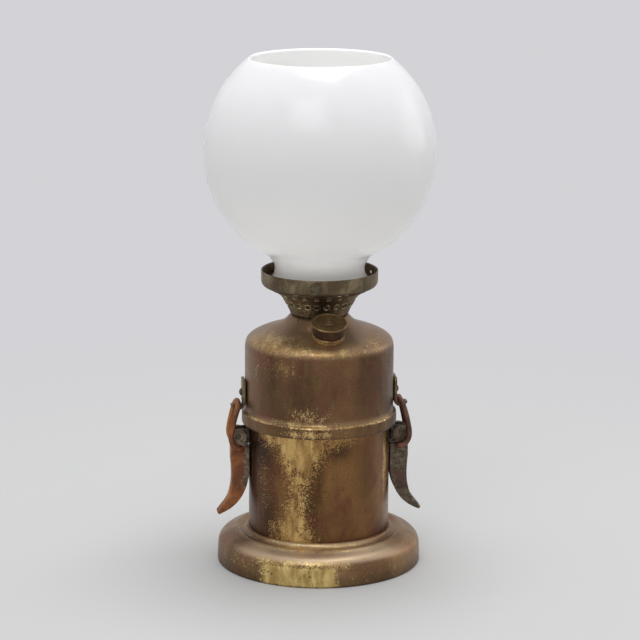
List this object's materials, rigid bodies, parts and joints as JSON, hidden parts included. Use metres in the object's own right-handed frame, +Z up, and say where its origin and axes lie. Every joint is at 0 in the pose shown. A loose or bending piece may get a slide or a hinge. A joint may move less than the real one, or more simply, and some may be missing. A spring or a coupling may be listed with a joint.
{
  "type": "carbide lamp",
  "caption": "Carbide table lamp: spun brass foot and container, clasped water tank with domed top, filler cap, pierced gallery and opal glass globe.",
  "frame": {"origin": "centre of the foot, on the surface that the lamp stands on", "axes": "+Z up along the lamp's axis; -Y is the front, on the filler cap's side; the clasps are at +X and -X"},
  "size_m": [0.166, 0.166, 0.3683],
  "materials": {
    "patina_brass": "brown patina with rubbed streaks",
    "worn_brass": "rubbed bright on its high spots",
    "dark_brass": "dull dark patina",
    "dark_steel": "darkened steel, slightly rusty",
    "rusty_steel": "rust",
    "opal_glass": "glossy white opal",
    "rubber": "matt",
    "felt": "felted",
    "steatite": "matt"
  },
  "bodies": {
    "lamp": {"foot_ring": "worn_brass", "container": "patina_brass", "carbide_cup": "dark_brass", "sealing_gasket": "rubber", "tank_shell": "patina_brass", "tank_floor": "dark_brass", "gas_tube": "patina_brass", "filter_cup": "dark_brass", "filter_felt": "felt", "filler_neck": "worn_brass", "valve_seat": "patina_brass", "valve_gland": "patina_brass", "gland_nut": "worn_brass", "gallery_basket": "dark_brass", "gallery_ring": "dark_brass", "burner_nut": "patina_brass", "burner_stem": "patina_brass", "burner_tip": "steatite", "bracket_left": "dark_brass", "bracket_right": "dark_brass", "lever_pin_left": "dark_steel", "lever_pin_right": "dark_steel", "catch_plate_left": "dark_brass", "catch_plate_right": "dark_brass", "catch_rivet_left": "dark_steel", "catch_rivet_right": "dark_steel"},
    "washer": {"cap_washer": "rubber"},
    "filler_cap": {"filler_cap": "dark_brass"},
    "valve_stem": {"valve_needle": "worn_brass"},
    "valve_knob": {"valve_knob": "dark_brass"},
    "screw_front": {"gallery_screw_front": "dark_steel"},
    "screw_back": {"gallery_screw_back": "dark_steel"},
    "globe": {"globe": "opal_glass"},
    "lever_left": {"lever_left": "rusty_steel"},
    "lever_right": {"lever_right": "dark_steel"},
    "link_left": {"link_left": "rusty_steel"},
    "link_right": {"link_right": "dark_steel"}
  },
  "joints": [
    {"name": "lever_right_hinge", "type": "hinge", "parent": "lamp", "child": "lever_right", "pos_m": [0.0596, 0, 0.095], "axis": [0, -1, 0], "range_deg": [0, 85]},
    {"name": "lever_left_hinge", "type": "hinge", "parent": "lamp", "child": "lever_left", "pos_m": [-0.0596, 0, 0.095], "axis": [0, 1, 0], "range_deg": [0, 85]},
    {"name": "link_right_hinge", "type": "hinge", "parent": "lever_right", "child": "link_right", "pos_m": [0.057, 0, 0.0857], "axis": [0, -1, 0], "range_deg": [-68, 0]},
    {"name": "link_left_hinge", "type": "hinge", "parent": "lever_left", "child": "link_left", "pos_m": [-0.057, 0, 0.0857], "axis": [0, 1, 0], "range_deg": [-68, 0]},
    {"name": "filler_cap_rise", "type": "slide", "parent": "lamp", "child": "washer", "axis": [0.0189, -0.3084, 0.9511], "range_m": [0, 0.0038]},
    {"name": "filler_cap_turn", "type": "hinge", "parent": "washer", "child": "filler_cap", "pos_m": [0.00218, -0.03565, 0.17372], "axis": [0.0189, -0.3084, 0.9511], "range_deg": [0, 900]},
    {"name": "valve_rise", "type": "slide", "parent": "lamp", "child": "valve_stem", "axis": [0, 0, 1], "range_m": [0, 0.0015]},
    {"name": "valve_turn", "type": "hinge", "parent": "valve_stem", "child": "valve_knob", "pos_m": [0, 0.03303, 0.188], "axis": [0, 0, 1], "range_deg": [0, 720]},
    {"name": "globe_lift", "type": "slide", "parent": "lamp", "child": "globe", "axis": [0, 0, 1], "range_m": [0, 0.1]},
    {"name": "screw_front_turn", "type": "hinge", "parent": "lamp", "child": "screw_front", "pos_m": [-0.00765, -0.0413, 0.2102], "axis": [-0.1822, -0.9833, 0], "range_deg": [0, 360]},
    {"name": "screw_back_turn", "type": "hinge", "parent": "lamp", "child": "screw_back", "pos_m": [-0.03194, 0.02728, 0.2102], "axis": [-0.7604, 0.6494, 0], "range_deg": [0, 360]}
  ],
  "couplings": [
    {"joint": "link_right_hinge", "follows": "lever_right_hinge", "ratio": -0.78},
    {"joint": "link_left_hinge", "follows": "lever_left_hinge", "ratio": -0.78},
    {"joint": "filler_cap_rise", "follows": "filler_cap_turn", "m_per_rad": 0.00023873},
    {"joint": "valve_rise", "follows": "valve_turn", "m_per_rad": 0.00011141}
  ]
}
